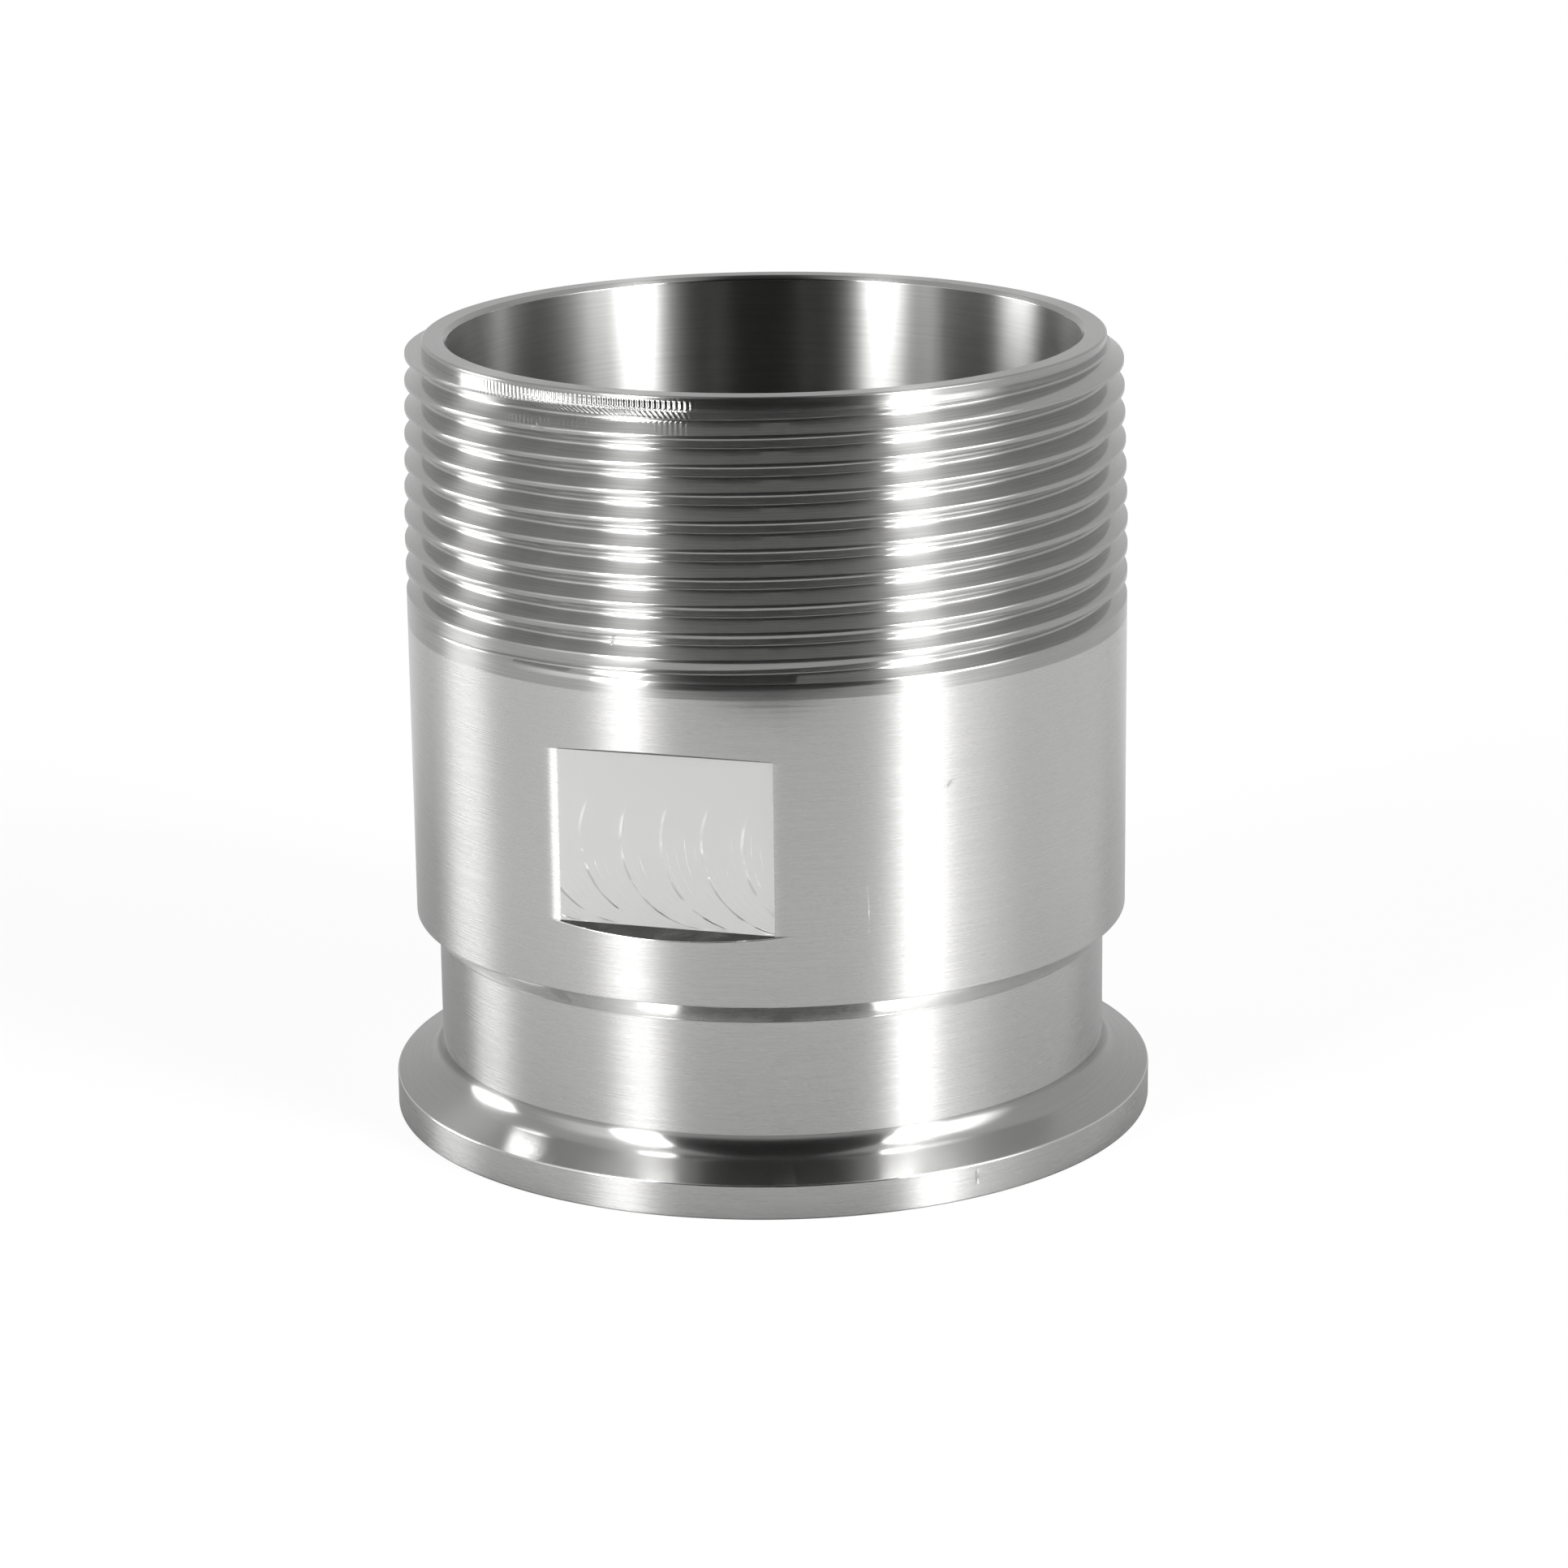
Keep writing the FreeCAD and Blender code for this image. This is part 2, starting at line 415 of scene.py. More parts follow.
stretched = add(tree, "ShaderNodeVectorMath", {
    0: swung, 1: (1.0, 1 / GRAIN_LENGTH, 1 / GRAIN_WIDTH)}, operation="MULTIPLY")
grain = add(tree, "ShaderNodeTexNoise", {"Vector": stretched, "Scale": 1.0, "Detail": 3.0})
surface = add(tree, "ShaderNodeMath", {0: grain, 1: GRAIN_SHARE, 2: cut},
              operation="MULTIPLY_ADD")
bump = add(tree, "ShaderNodeBump", {"Height": surface, "Distance": MILLED_DEPTH * MM})
for shader in shaders:
    shader.inputs["Anisotropic"].default_value = 0.0
    tree.links.new(bump.outputs[0], shader.inputs["Normal"])
print("a worn patch is", PATCH, "mm across, a grain", round(GRAIN_WIDTH, 2), "mm wide")

# %% [markdown]
# The ledges at the ends of each flat were cut by the side of the end mill. They are small
# and torn, so they look duller than the flat, and their near-black grey is painted shade.

# %% Finish the ledges
TORN_DEPTH = 0.02
TORN_SIZE = 0.25                               # mm across a torn spot
# the near-black grey is painted shade on the ledges; the torn bump is their real surface
ledges, tree, place, shaders = steel(
    "side_milled_stainless_steel", "#3D3D3C", polish=0.3, scratch=0.5, share=0.5)[:4]
torn = add(tree, "ShaderNodeTexNoise", {
    "Vector": place, "Scale": 1 / TORN_SIZE, "Detail": 3.0})
bump = add(tree, "ShaderNodeBump", {"Height": torn, "Distance": TORN_DEPTH * MM})
for shader in shaders:
    shader.inputs["Anisotropic"].default_value = 0.0
    tree.links.new(bump.outputs[0], shader.inputs["Normal"])
print(len(bpy.data.materials), "materials so far")

# %% [markdown]
# The thread could be a swept profile, but its runout and the ledge at its end would then
# need cutting. Instead a flat sheet is ruled in turns across and pitches up, and Geometry
# Nodes roll it: each point is put on its helix, and its radius is the crest's cone less
# the depth of the V at that height. Points outside the threaded length are held at its
# ends, and merging closes the sheet into a tube.

# %% Rule the sheet
half_rows = [ROOT_RADIUS * math.sin(math.radians(a)) for a in (20, 40, 60)]
half_rows += [mouth_half - CREST_BREAK, mouth_half, mouth_half + CREST_BREAK]
pitch_rows = sorted([0.0] + half_rows + [-u for u in half_rows]) + [PITCH / 2]
last_turn = math.ceil((NOSE_Z - RUNOUT_Z) / PITCH - 0.5)
sheet_rows = [turn + row / PITCH for turn in range(-2, last_turn + 1) for row in pitch_rows]
NOSE_ROW = last_turn + 1.0
sheet_rows.append(NOSE_ROW)
sheet_columns = np.append(columns, columns[0] + 360)
turn_shares = (sheet_columns - columns[0]) / 360


def ruled_sheet(across, up):
    """A flat mesh with a point at each pair of values, and its quads."""
    x, y = np.meshgrid(across, up)
    points = np.stack([x, y, np.zeros_like(x)], axis=-1).reshape(-1, 3)
    n = len(across)
    quads = [(row * n + i, row * n + i + 1, (row + 1) * n + i + 1, (row + 1) * n + i)
             for row in range(len(up) - 1) for i in range(n - 1)]
    mesh = bpy.data.meshes.new("thread_sheet")
    mesh.from_pydata(points.tolist(), [], quads)
    return mesh


sheet = bpy.data.objects.new("thread_sheet", ruled_sheet(turn_shares, sheet_rows))
bpy.context.scene.collection.objects.link(sheet)
print(len(sheet_rows), "rows of", len(sheet_columns), "points")

# %% [markdown]
# The tree's inputs are the thread's own sizes in millimetres, and its finish. A thread of
# another pitch or taper would need other values here, and no other tree.

# %% Name the tree's inputs
tree = bpy.data.node_groups.new("roll_thread", "GeometryNodeTree")
tree.interface.new_socket("Geometry", in_out="OUTPUT", socket_type="NodeSocketGeometry")
tree.interface.new_socket("Sheet", in_out="INPUT", socket_type="NodeSocketGeometry")
thread_sizes = {
    "Pitch": PITCH, "Mouth Half": mouth_half, "Root Radius": ROOT_RADIUS,
    "Root Depth": root_depth, "Crest Break": CREST_BREAK, "Body Radius": BODY_R,
    "End Crest Radius": CREST_END_R, "End Height": END_Z, "Taper": TAPER,
    "Runout Height": RUNOUT_Z, "Runout Turns": RUNOUT_TURNS,
    "Low Height": THREAD_LOW_Z, "Nose Height": NOSE_Z, "Nose Radius": NOSE_R,
    "Nose Row": NOSE_ROW, "First Angle": math.radians(columns[0]),
}
sockets = {name: tree.interface.new_socket(name, in_out="INPUT", socket_type="NodeSocketFloat")
           for name in thread_sizes}
finish_socket = tree.interface.new_socket("Finish", in_out="INPUT",
                                          socket_type="NodeSocketMaterial")
given = add(tree, "NodeGroupInput").outputs
print(len(thread_sizes), "sizes and a finish")

# %% [markdown]
# The sums could be wired up one node at a time, but more than seventy Math nodes are hard
# to read that way. Here each one is a line: its name, its operation, and what it works on.
# Two groups of lines are used more than once. One is the crests' cone. The other is the
# lift, which says how far the tool is drawn back at a turn: all the way before the runout,
# and by as much as the cone would stand out of the body further down.

# %% Write the lines that are used more than once


def crest_cone(name, height):
    """Steps for the radius of the cone of the crests at a height."""
    return [(name + " drop", "SUBTRACT", "End Height", height),
            (name, "MULTIPLY_ADD", name + " drop", "Taper", "End Crest Radius")]


def lift(name, turns):
    """Steps for how far the tool is drawn back, this many turns after the runout began."""
    return [(name + " begun", "DIVIDE", turns, "Runout Turns"),
            (name + " left", "SUBTRACT", 1.0, name + " begun"),
            (name + " drawn", "MAXIMUM", name + " left", 0.0),
            (name + " root z", "MULTIPLY_ADD", turns, "Pitch", "Runout Height"),
            *crest_cone(name + " cone", name + " root z"),
            (name + " over", "SUBTRACT", name + " cone", "Body Radius"),
            (name + " proud", "MAXIMUM", name + " over", 0.0),
            (name, "MULTIPLY_ADD", name + " drawn", "Root Depth", name + " proud")]


# %% [markdown]
# First each point finds its height. Across the sheet runs the share of a turn, and up it
# run the pitches, with a root at each whole number. The rows of a shallow cut close up
# with its mouth, and the row in the middle of a crest stays.

# %% Find each point's height
V_HALF_ANGLE = math.radians(30)
NEAR_CREST = 0.49                              # pitches from a root; a crest's row is past it
steps = [
    ("row", "ADD", "up", 0.5),
    ("row turn", "FLOOR", "row"),
    ("turns", "ADD", "row turn", "across"),
    ("row share", "SUBTRACT", "up", "row turn"),
    ("from root", "MULTIPLY", "row share", "Pitch"),
    *lift("lift", "turns"),
    ("narrowed", "MULTIPLY", "lift", math.tan(V_HALF_ANGLE)),
    ("mouth left", "SUBTRACT", "Mouth Half", "narrowed"),
    ("mouth", "MAXIMUM", "mouth left", SHUT_MOUTH),
    ("share", "DIVIDE", "mouth", "Mouth Half"),
    ("half pitch", "MULTIPLY", "Pitch", NEAR_CREST),
    ("distance", "ABSOLUTE", "from root"),
    ("is crest", "GREATER_THAN", "distance", "half pitch"),
    ("closed up", "SUBTRACT", 1.0, "share"),
    ("kept", "MULTIPLY", "is crest", "closed up"),
    ("scale", "ADD", "share", "kept"),
    ("root z", "MULTIPLY_ADD", "turns", "Pitch", "Runout Height"),
    ("free z", "MULTIPLY_ADD", "from root", "scale", "root z"),
    ("above low", "MAXIMUM", "free z", "Low Height"),
    ("height", "MINIMUM", "above low", "Nose Height"),
]
print(len(steps), "lines to a point's height")

# %% [markdown]
# Then it finds how deep the cut is there. The depth is measured from the nearest root,
# whichever row the point is on. It is a straight flank or a round root, less the lift, and
# a smooth maximum with no cut at all breaks the crest's corners.

# %% Find the depth of the cut
FLANK_SLOPE = 1 / math.tan(V_HALF_ANGLE)
steps += [
    ("over runout", "SUBTRACT", "height", "Runout Height"),
    ("turns up", "DIVIDE", "over runout", "Pitch"),
    ("whole", "SUBTRACT", "turns up", "across"),
    ("rounded", "ROUND", "whole"),
    ("nearest", "ADD", "rounded", "across"),
    ("nearest z", "MULTIPLY_ADD", "nearest", "Pitch", "Runout Height"),
    ("side", "SUBTRACT", "height", "nearest z"),
    ("off", "ABSOLUTE", "side"),
    ("inside mouth", "SUBTRACT", "Mouth Half", "off"),
    ("flank", "MULTIPLY", "inside mouth", FLANK_SLOPE),
    ("radius squared", "POWER", "Root Radius", 2.0),
    ("off squared", "POWER", "off", 2.0),
    ("squares", "SUBTRACT", "radius squared", "off squared"),
    ("no less", "MAXIMUM", "squares", 0.0),
    ("bowl", "SQRT", "no less"),
    ("bowl top", "SUBTRACT", "Root Depth", "Root Radius"),
    ("root", "ADD", "bowl top", "bowl"),
    ("root edge", "MULTIPLY", "Root Radius", math.cos(V_HALF_ANGLE)),
    ("is root", "LESS_THAN", "off", "root edge"),
    ("root or flank", "SUBTRACT", "root", "flank"),
    ("profile", "MULTIPLY_ADD", "is root", "root or flank", "flank"),
    *lift("nearest lift", "nearest"),
    ("depth", "SUBTRACT", "profile", "nearest lift"),
    ("blend", "MULTIPLY", "Crest Break", 2 * FLANK_SLOPE),
    ("cut", "SMOOTH_MAX", "depth", 0.0, "blend"),
]
print(len(steps), "lines with the depth")

# %% [markdown]
# Last, the cut is taken off the crests' cone, and angle and radius give the point's place.
# The sheet's top row turns in to the nose instead, which makes the ledge under it.

# %% Find each point's place
steps += [
    *crest_cone("cone", "height"),
    ("surface", "MINIMUM", "cone", "Body Radius"),
    ("threaded", "SUBTRACT", "surface", "cut"),
    ("nose edge", "SUBTRACT", "Nose Row", 0.25),     # only the top row is past it
    ("is nose", "GREATER_THAN", "up", "nose edge"),
    ("inset", "SUBTRACT", "Nose Radius", "threaded"),
    ("radius", "MULTIPLY_ADD", "is nose", "inset", "threaded"),
    ("angle", "MULTIPLY_ADD", "across", 2 * math.pi, "First Angle"),
    ("cosine", "COSINE", "angle"),
    ("sine", "SINE", "angle"),
    ("x", "MULTIPLY", "radius", "cosine"),
    ("y", "MULTIPLY", "radius", "sine"),
]
print(len(steps), "lines in all")

# %% [markdown]
# One loop turns the lines into nodes. A word that names an earlier line or an input
# becomes a link, and a number stays a number. The tree ends by merging the sheet's two
# sides, making its geometry real and setting the finish.

# %% Turn the lines into nodes
MERGE = 0.001                                  # mm; points nearer than this are one
place = add(tree, "ShaderNodeSeparateXYZ", {0: add(tree, "GeometryNodeInputPosition")}).outputs
known = {name: given[name] for name in thread_sizes}
known.update({"across": place[0], "up": place[1]})
for name, operation, *operands in steps:
    values = {i: known.get(operand, operand) for i, operand in enumerate(operands)}
    known[name] = add(tree, "ShaderNodeMath", values, operation=operation).outputs[0]
rolled = add(tree, "ShaderNodeCombineXYZ", {0: known["x"], 1: known["y"], 2: known["height"]})
metres = add(tree, "ShaderNodeVectorMath", {0: rolled, "Scale": MM}, operation="SCALE")
moved = add(tree, "GeometryNodeSetPosition", {"Geometry": given["Sheet"], "Position": metres})
closed = add(tree, "GeometryNodeMergeByDistance", {"Geometry": moved, "Distance": MERGE * MM})
real = add(tree, "GeometryNodeRealizeInstances", {"Geometry": closed})
finished = add(tree, "GeometryNodeSetMaterial", {"Geometry": real, "Material": given["Finish"]})
add(tree, "NodeGroupOutput", {"Geometry": finished})
print(len(tree.nodes), "nodes in the tree")

# %% [markdown]
# The modifier's inputs are set by their identifiers before the sheet is first evaluated.
# The result is copied to a plain mesh, and the sheet is thrown away with its modifier.

# %% Roll the thread
roll = sheet.modifiers.new("roll_thread", "NODES")
roll.node_group = tree
for name, value in thread_sizes.items():
    roll[sockets[name].identifier] = value
roll[finish_socket.identifier] = threaded
bpy.context.view_layer.update()
evaluated = sheet.evaluated_get(bpy.context.evaluated_depsgraph_get())
thread_mesh = bpy.data.meshes.new_from_object(evaluated)
bpy.data.objects.remove(sheet)
print("thread:", len(thread_mesh.polygons), "faces")

# %% [markdown]
# Everything else is a profile turned about the bore. A corner list is easier to read
# than a curve, so each corner is given with the size of its edge break, and a small
# function rounds it. Sharp corners would look drawn: a real edge always catches light.

# %% Round the corners of a profile


def rounded(corners):
    """Profile points and finishes from (radius, height, break, steps, finish) corners."""
    points, finishes = [], []
    for i, (r, z, size, steps, finish) in enumerate(corners):
        here = np.array([r, z])
        if size == 0:
            points.append(here)
            finishes.append(finish)
            continue
        before, after = np.array(corners[i - 1][:2]), np.array(corners[i + 1][:2])
        start = here + (before - here) * size / np.linalg.norm(before - here)
        end = here + (after - here) * size / np.linalg.norm(after - here)
        for step in range(steps + 1):
            t = step / steps
            points.append(start * (1 - t) ** 2 + here * 2 * t * (1 - t) + end * t ** 2)
            finishes.append(finish)
    return points, finishes


def arc(middle, radius, first, last, steps, finish):
    """Corners along an arc, with angles in degrees in the profile's plane."""
    return [(middle[0] + radius * math.cos(math.radians(a)),
             middle[1] + radius * math.sin(math.radians(a)), 0, 0, finish)
            for a in np.linspace(first, last, steps + 1)]


# %% [markdown]
# The profile runs down the outside from the foot of the thread, across the clamp face,
# up the bore and over the pipe end. The flange's back slopes at 20 degrees, because the
# clamp's two halves draw the joint together on it, and a fillet leads it into the neck.
# Each corner has its radius, its height, the size of its break, the break's steps and the
# finish of the surface that starts there.

# %% Lay out the profile
TURNED, FACED, BORED, MILLED, THREADED, LEDGE = range(6)
NOSE_EDGE_IN = 0.18
NOSE_EDGE_DOWN = 0.15
NOSE_ROW_DOWN = 0.25                           # a row here keeps the nose's shading flat
fillet_r = NECK_R + FILLET_R
back_z = RIM_HEIGHT + (RIM_R - fillet_r) * math.tan(math.radians(BACK_ANGLE))
fillet_z = back_z + FILLET_R / math.cos(math.radians(BACK_ANGLE))
below_flats = [
    (BODY_R, SHOULDER_Z, 0.10, 3, TURNED),
    (NECK_R, NECK_TOP_Z, 0.12, 3, TURNED),
]
below_flats += arc((fillet_r, fillet_z), FILLET_R, 180, 270 - BACK_ANGLE, 12, FACED)
below_flats += [
    (RIM_R, RIM_HEIGHT, RIM_EDGE, 3, TURNED),
    (RIM_R, 0, RIM_EDGE, 3, FACED),
    (GROOVE_MIDDLE_R + GROOVE_R, 0, 0.06, 2, FACED),
]
below_flats += arc((GROOVE_MIDDLE_R, 0), GROOVE_R, GROOVE_END, 180 - GROOVE_END, 16, FACED)
below_flats += [
    (GROOVE_MIDDLE_R - GROOVE_R, 0, 0.06, 2, FACED),
    (BORE_R + BORE_EDGE, 0, 0, 0, FACED),
    (BORE_R, BORE_EDGE, 0, 0, BORED),
]
bore_and_end = [
    (BORE_R, BORE_EDGE, 0, 0, BORED),
    (BORE_R, END_Z - BORE_EDGE, 0.06, 2, FACED),
    (BORE_R + BORE_EDGE, END_Z, 0.06, 2, FACED),
    (NOSE_R - NOSE_EDGE_IN, END_Z, 0.03, 2, FACED),
    (NOSE_R, END_Z - NOSE_EDGE_DOWN, 0.03, 2, THREADED),
    (NOSE_R, END_Z - NOSE_ROW_DOWN, 0, 0, THREADED),
    (NOSE_R, NOSE_Z, 0, 0, THREADED),
]
print("fillet's middle at", round(fillet_r, 2), round(fillet_z, 3))

# %% [markdown]
# A flat is where an end mill took a slice off the side. The depth of that slice is the
# body's radius less the distance to the flat's plane, and it fades to nothing at both
# sides. A smooth minimum rounds those sides, as the burr there was rubbed off by hand.

# %% Measure the depth of the flats
SIDE_BLEND = 0.42                              # depth over which a side is rounded
NEAR_FLAT = 1.2                                # radians; no side is this far from the middle
LEAST_DEPTH = 0.0005


def smooth_minimum(a, b, width):
    """The smaller of two values, blended where they are closer than the width."""
    near = np.maximum(width - np.abs(a - b), 0) / width
    return np.minimum(a, b) - near ** 3 * width / 6


depth = np.zeros(len(columns))
for turn in (0, 180):
    off = np.abs(np.radians([wrapped(a - FLAT_ANGLE - turn) for a in columns]))
    plane = np.where(off < NEAR_FLAT, FLAT_R / np.cos(np.minimum(off, NEAR_FLAT)), 2 * BODY_R)
    depth = np.maximum(depth, BODY_R - smooth_minimum(BODY_R, plane, SIDE_BLEND))
depth[depth < LEAST_DEPTH] = 0
print("deepest", round(depth.max(), 3), "mm, over", int((depth > 0).sum()), "columns")

# %% [markdown]
# Above and below, a flat ends in a ledge that leans outwards, with a small break at its
# outer edge and a sharp inner corner, where the mill's own corner was. A few rows between
# the ledges keep the facets of the flat from being long and thin.

# %% Lay out the rows of the flats
EDGE = 0.08                                    # break at a ledge's outer edge
EDGE_MIDDLE = 0.3 * EDGE                       # how far in its middle row lies
LEDGE_SLOPE = 0.36                             # rise for each millimetre outwards
LOWER_LEDGE_DROP = 0.12                        # the lower ledge was cut this much lower
FLAT_RISES = (6.5, 3.5, 0, -3.5, -6.5)         # rows over and under the flat's middle


def ledge(edge_z, inward):
    """Rows over a flat's ledge, from the body's surface in to the flat."""
    share = np.minimum(1, depth / (3 * EDGE))
    outer_z = edge_z - inward * LEDGE_SLOPE * depth
    rows = [(BODY_R - cut * share, outer_z - inward * back * share)
            for back, cut in ((EDGE, 0), (EDGE_MIDDLE, EDGE_MIDDLE), (0, EDGE))]
    return rows + [(BODY_R - depth, np.full(len(columns), edge_z))]


flat_rows = ledge(FLAT_MID_Z + FLAT_HALF_HEIGHT, -1)
flat_rows += [(BODY_R - depth, np.full(len(columns), FLAT_MID_Z + rise))
              for rise in FLAT_RISES]
flat_rows += ledge(FLAT_MID_Z - FLAT_HALF_HEIGHT - LOWER_LEDGE_DROP, 1)[::-1]
flat_rows = [np.stack(row, axis=1) for row in flat_rows]
print(len(flat_rows), "rows over the flats")

# %% [markdown]
# All rows are stacked from the foot of the thread down, round the clamp face, up the bore
# and over the end to the nose's foot. A row of the flats has its own point in each
# column, and any other row repeats one point.

# %% Stack the rows


def ring(point):
    """The same profile point in every column."""
    return np.tile(point, (len(columns), 1))


# The rounding function looks at a corner's neighbours, so the body's line is kept whole.
lower, lower_finish = rounded([(BODY_R, FLAT_MID_Z, 0, 0, TURNED)] + below_flats)
upper, upper_finish = rounded(bore_and_end)
rows = [ring((BODY_R, THREAD_LOW_Z))] + flat_rows
finishes = [TURNED] * len(rows)
rows += [ring(p) for p in lower[1:]] + [ring(p) for p in upper[1:]]
finishes += lower_finish[1:] + upper_finish[1:]
print(len(rows), "rows of", len(columns), "points")

# %% [markdown]
# The rows are turned about the bore, and quads join each row to the next. A quad takes
# its row's finish, apart from those that lie deep enough in a flat or on its ledges.

# %% Turn the rows about the bore
FLAT_SEEN = 0.2                                # a cut deeper than this looks milled
UPPER_LEDGE_ROW = 3                            # the row of quads that is a ledge
LOWER_LEDGE_ROW = len(flat_rows) - 3
angles = np.radians(columns)
radii, heights = np.moveaxis(np.array(rows), 2, 0)
points = np.stack([radii * np.cos(angles), radii * np.sin(angles), heights], axis=-1) * MM
count = len(columns)
quads, quad_finish = [], []
for row in range(len(rows) - 1):
    for i in range(count):
        j = (i + 1) % count
        quads.append((row * count + i, (row + 1) * count + i,
                      (row + 1) * count + j, row * count + j))
        finish = finishes[row]
        if min(depth[i], depth[j]) > FLAT_SEEN:
            if row in (UPPER_LEDGE_ROW, LOWER_LEDGE_ROW):
                finish = LEDGE
            elif UPPER_LEDGE_ROW < row < LOWER_LEDGE_ROW:
                finish = MILLED
        quad_finish.append(finish)
turned_mesh = bpy.data.meshes.new("turned")
turned_mesh.from_pydata(points.reshape(-1, 3).tolist(), [], quads)
turned_mesh.polygons.foreach_set("material_index", quad_finish)
print(quad_finish.count(MILLED), "milled faces,", quad_finish.count(LEDGE), "on ledges")

# %% [markdown]
# The thread's mesh is added to the turned one. Rows that fall on one another beside the
# flats are merged, and what is left has to be one closed skin with its faces outwards.

# %% Join the thread and close the skin
SHORTEST_EDGE = 0.0005                         # mm
SHARP_ANGLE = 35                               # degrees between faces that meet in an edge
skin = bmesh.new()
skin.from_mesh(turned_mesh)
turned_count = len(skin.faces)
skin.from_mesh(thread_mesh)
skin.faces.ensure_lookup_table()
for face in skin.faces[turned_count:]:
    face.material_index = THREADED
bmesh.ops.remove_doubles(skin, verts=skin.verts, dist=MERGE * MM)
bmesh.ops.dissolve_degenerate(skin, edges=skin.edges, dist=SHORTEST_EDGE * MM)
bmesh.ops.recalc_face_normals(skin, faces=skin.faces)
for face in skin.faces:
    face.smooth = True
open_edges = sum(not edge.is_manifold for edge in skin.edges)
triangles = sum(len(face.verts) - 2 for face in skin.faces)
print("open edges", open_edges, "triangles", triangles, "volume cm3",
      round(skin.calc_volume(signed=True) * 1e6, 2))
body_mesh = bpy.data.meshes.new("adapter")
skin.to_mesh(body_mesh)
skin.free()
for finish in (turned, faced, bored, milled, threaded, ledges):
    body_mesh.materials.append(finish)
body_mesh.set_sharp_from_angle(angle=math.radians(SHARP_ANGLE))

# %% [markdown]
# Smooth shading bends the normals of wide faces towards the narrow ones beside them. The
# Weighted Normal modifier lets wide faces keep their own direction, so only the small
# edge breaks curve the light. It is applied, and the piece is left as a plain mesh.

# %% Weigh the normals and name the piece
WIDE_FACE_WEIGHT = 90                          # at 50, all faces count alike
blank = bpy.data.objects.new("weighing", body_mesh)
bpy.context.scene.collection.objects.link(blank)
weigh = blank.modifiers.new("weigh", "WEIGHTED_NORMAL")
weigh.keep_sharp = True
weigh.weight = WIDE_FACE_WEIGHT
bpy.context.view_layer.update()
weighed = bpy.data.meshes.new_from_object(
    blank.evaluated_get(bpy.context.evaluated_depsgraph_get()))
bpy.data.objects.remove(blank)
adapter = bpy.data.objects.new("turned_adapter", weighed)
bpy.context.scene.collection.objects.link(adapter)
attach(adapter, "root")
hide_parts("adapter_body")
print(adapter.name, "has", len(weighed.polygons), "faces and", len(weighed.materials), "finishes")

# %% [markdown]
# The part stands on a white table that ends about 15 centimetres in front of it. Steel
# shows what is around it, so the table's end matters: the dark room beyond it is the black
# that the thread shows. To the camera the table is white paper with a faint shadow. To
# the steel it is a mid grey, lit like the rest, with more shade painted in near the part.

# %% Lay the table
TABLE_FRONT = 187                              # mm from the bore's axis
TABLE_SIDE = 900
TABLE_BACK = 1200
TABLE_IN_STEEL = 0.45                          # its grey in reflections
TABLE_GREY = 0.65                              # its grey under the camera's white
SHADE_REACH = 80                               # mm round the part that it shades
WHITE_SHARE = 0.9                              # of what the camera sees; the rest has shade
floor_mesh = bpy.data.meshes.new("table")
floor_mesh.from_pydata([(x * MM, y * MM, 0) for x, y in (
    (-TABLE_SIDE, -TABLE_FRONT), (TABLE_SIDE, -TABLE_FRONT),
    (TABLE_SIDE, TABLE_BACK), (-TABLE_SIDE, TABLE_BACK))], [], [(0, 1, 2, 3)])
floor = bpy.data.objects.new("table", floor_mesh)
bpy.context.scene.collection.objects.link(floor)
paper = bpy.data.materials.new("matt_white_table")
paper.use_nodes = True
tree = paper.node_tree
tree.nodes.clear()
seen = add(tree, "ShaderNodeLightPath").outputs
# ambient occlusion paints shade into the table's grey near the part, as the steel sees it
open_sky = add(tree, "ShaderNodeAmbientOcclusion", {"Distance": SHADE_REACH * MM},
               samples=8).outputs["AO"]
grey_with_painted_shade = add(tree, "ShaderNodeMath", {0: open_sky, 1: TABLE_IN_STEEL}, operation="MULTIPLY")
grey = add(tree, "ShaderNodeMix", {0: seen["Is Glossy Ray"], 2: TABLE_GREY, 3: grey_with_painted_shade})
matt = add(tree, "ShaderNodeBsdfDiffuse", {"Color": grey})
glow = add(tree, "ShaderNodeEmission", {"Color": (1, 1, 1, 1), "Strength": 1.0})
share = add(tree, "ShaderNodeMath", {0: seen["Is Camera Ray"], 1: WHITE_SHARE},
            operation="MULTIPLY")
add(tree, "ShaderNodeOutputMaterial", {
    "Surface": add(tree, "ShaderNodeMixShader", {0: share, 1: matt, 2: glow})})
floor_mesh.materials.append(paper)
print("table", 2 * TABLE_SIDE, "by", TABLE_FRONT + TABLE_BACK, "mm")

# %% [markdown]
# The light is a pale tent all round, open at the front where the camera looks in. Narrow
# lit panels stand at both sides of that opening and behind the left shoulder. All of it is
# drawn in the world by direction, which is smooth and has no lamps to hide. First the
# world's directions become two angles: the azimuth is 0 in front, towards the camera, and
# grows to the right, and the elevation is 0 at the horizon.

# %% Turn directions into angles
world = bpy.data.worlds.new("light_tent")
bpy.context.scene.world = world
world.use_nodes = True
tree = world.node_tree
tree.nodes.clear()
toward = add(tree, "ShaderNodeTexCoord").outputs["Generated"]
axes = add(tree, "ShaderNodeSeparateXYZ", {0: toward}).outputs
forward = add(tree, "ShaderNodeMath", {0: axes[1], 1: -1.0}, operation="MULTIPLY")
round_about = add(tree, "ShaderNodeMath", {0: axes[0], 1: forward}, operation="ARCTAN2")
azimuth = add(tree, "ShaderNodeMath", {0: round_about}, operation="DEGREES")
tilted = add(tree, "ShaderNodeMath", {0: axes[2]}, operation="ARCSINE")
elevation = add(tree, "ShaderNodeMath", {0: tilted}, operation="DEGREES")
print(len(tree.nodes), "nodes find the two angles")

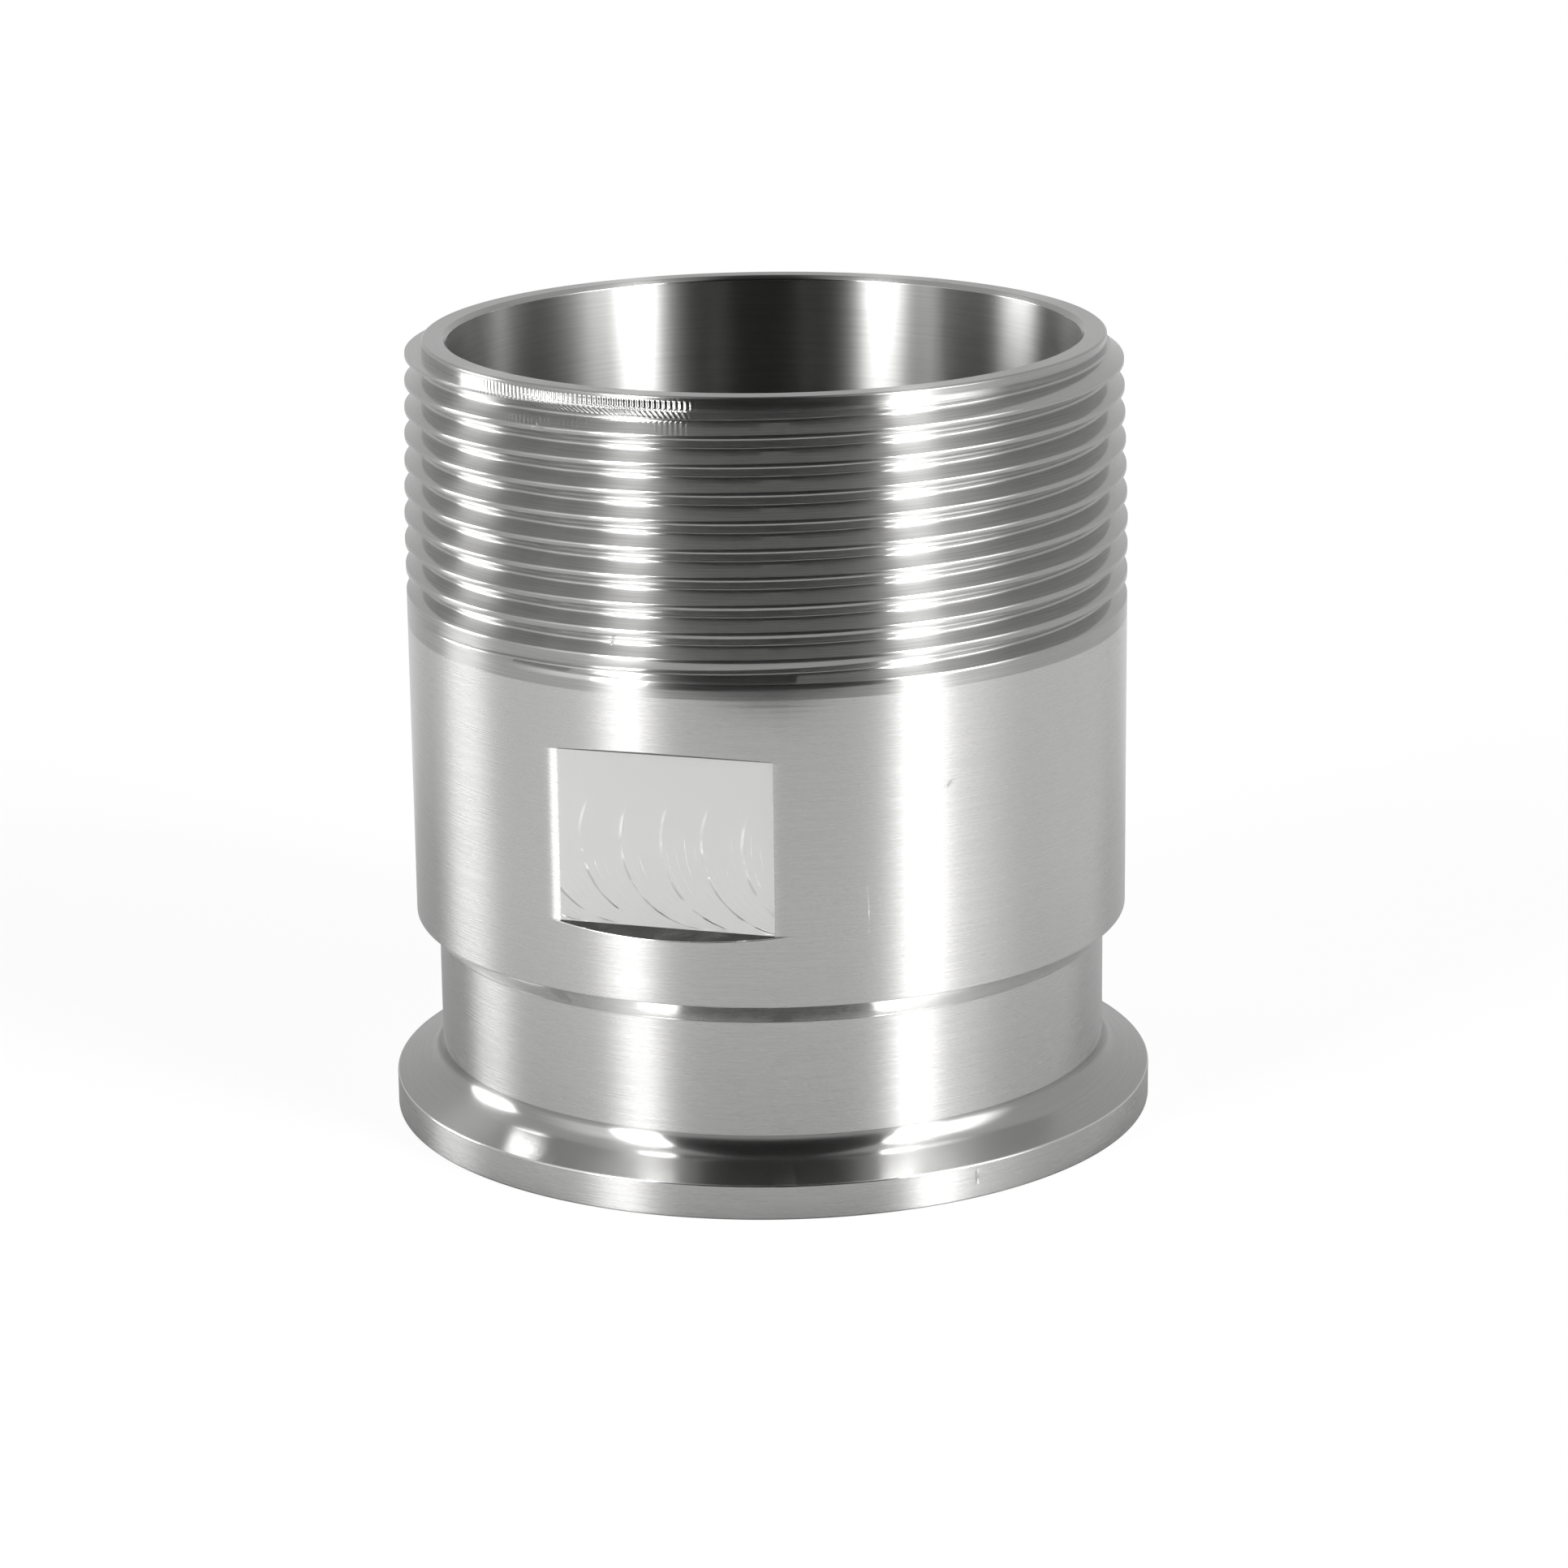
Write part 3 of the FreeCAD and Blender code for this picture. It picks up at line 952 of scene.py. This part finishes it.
# %% [markdown]
# A panel is a range of azimuth, with a soft or a sharp edge at each side, from its bottom
# up to its top. Its level is what it shows in the steel, where 1 is white. The panels are
# narrow, so even at these levels a white card on the table would get about one and a half
# times the light that shows it as white. The tent is dim overhead, because the black
# middle of the thread shows that nothing shines on it from above.

# %% Light the scene
WALL = 0.7
CEILING = 0.08
CEILING_FROM = 64.0                            # degrees up, where the tent starts to dim
CEILING_TO = 85.0
BOTTOM_SOFT = 5
TOP_SOFT = 6
panels = (                                     # from, to, their soft edges, bottom, top, level
    (-115, -105, 9, 9, 0, 18, 14.0),           # a panel behind the left shoulder
    (-62, -42, 30, 8, 3, 38, 1.5),             # the spill of the left light
    (-48, -42, 10, 8, 3, 38, 24.0),            # the left light
    (44, 62, 2, 28, 3, 38, 6.0),               # the spill of the right light
    (43, 53, 2, 7, 3, 38, 30.0),               # the right light
    (-37, 41, 4, 2, -90, 90, 0.01))            # the opening that the camera looks through
level = WALL
for low_angle, high_angle, low_soft, high_soft, bottom, top, panel in panels:
    inside = band(tree, azimuth, low_angle, high_angle, low_soft, high_soft)
    between = band(tree, elevation, bottom, top, BOTTOM_SOFT, TOP_SOFT)
    inside = add(tree, "ShaderNodeMath", {0: inside, 1: between}, operation="MULTIPLY")
    level = add(tree, "ShaderNodeMix", {0: inside, 2: level, 3: panel})
ceiling = add(tree, "ShaderNodeMapRange", {
    "Value": elevation, "From Min": CEILING_FROM, "From Max": CEILING_TO})
level = add(tree, "ShaderNodeMix", {0: ceiling, 2: level, 3: CEILING})
seen = add(tree, "ShaderNodeLightPath").outputs
glow = add(tree, "ShaderNodeBackground", {"Color": (1, 1, 1, 1), "Strength": level})
white = add(tree, "ShaderNodeBackground", {"Color": (1, 1, 1, 1), "Strength": 1.0})
add(tree, "ShaderNodeOutputWorld", {
    "Surface": add(tree, "ShaderNodeMixShader", {0: seen["Is Camera Ray"], 1: glow, 2: white})})
print(len(panels), "panels in the tent")

# %% [markdown]
# The photograph looks down at the part by about 16 degrees from 40 centimetres away. The
# camera's place and lens were worked out from the part's circles, whose sizes are known.

# %% Place the camera
CAMERA_PLACE = Vector((-0.083, -391.98, 138.32))       # mm
CAMERA_DOWN = 0.2770                           # radians
CAMERA_YAW = 0.0033
CAMERA_ROLL = -0.0120
FOCAL_PIXELS = 5962.86
IMAGE_SIDE = 1932
camera = bpy.data.objects.new("camera", bpy.data.cameras.new("camera"))
bpy.context.scene.collection.objects.link(camera)
bpy.context.scene.camera = camera
camera.data.sensor_width = 36
camera.data.lens = FOCAL_PIXELS / IMAGE_SIDE * camera.data.sensor_width
camera.data.clip_start, camera.data.clip_end = 0.01, 20
ahead = Vector((math.sin(CAMERA_YAW) * math.cos(CAMERA_DOWN),
                math.cos(CAMERA_YAW) * math.cos(CAMERA_DOWN), -math.sin(CAMERA_DOWN)))
right = Vector((math.cos(CAMERA_YAW), -math.sin(CAMERA_YAW), 0))
above = right.cross(ahead)
turned_right = right * math.cos(CAMERA_ROLL) + above * math.sin(CAMERA_ROLL)
turned_up = above * math.cos(CAMERA_ROLL) - right * math.sin(CAMERA_ROLL)
pose = Matrix((turned_right, turned_up, -ahead)).transposed().to_4x4()
pose.translation = CAMERA_PLACE * MM
camera.matrix_world = pose
print("lens", round(camera.data.lens, 2), "mm")

# %% [markdown]
# The seen piece has to stay inside the box of the solid model, because other parts are
# fitted to that. The render uses the standard view transform.

# %% Set the view transform
bpy.context.scene.view_settings.view_transform = "Standard"
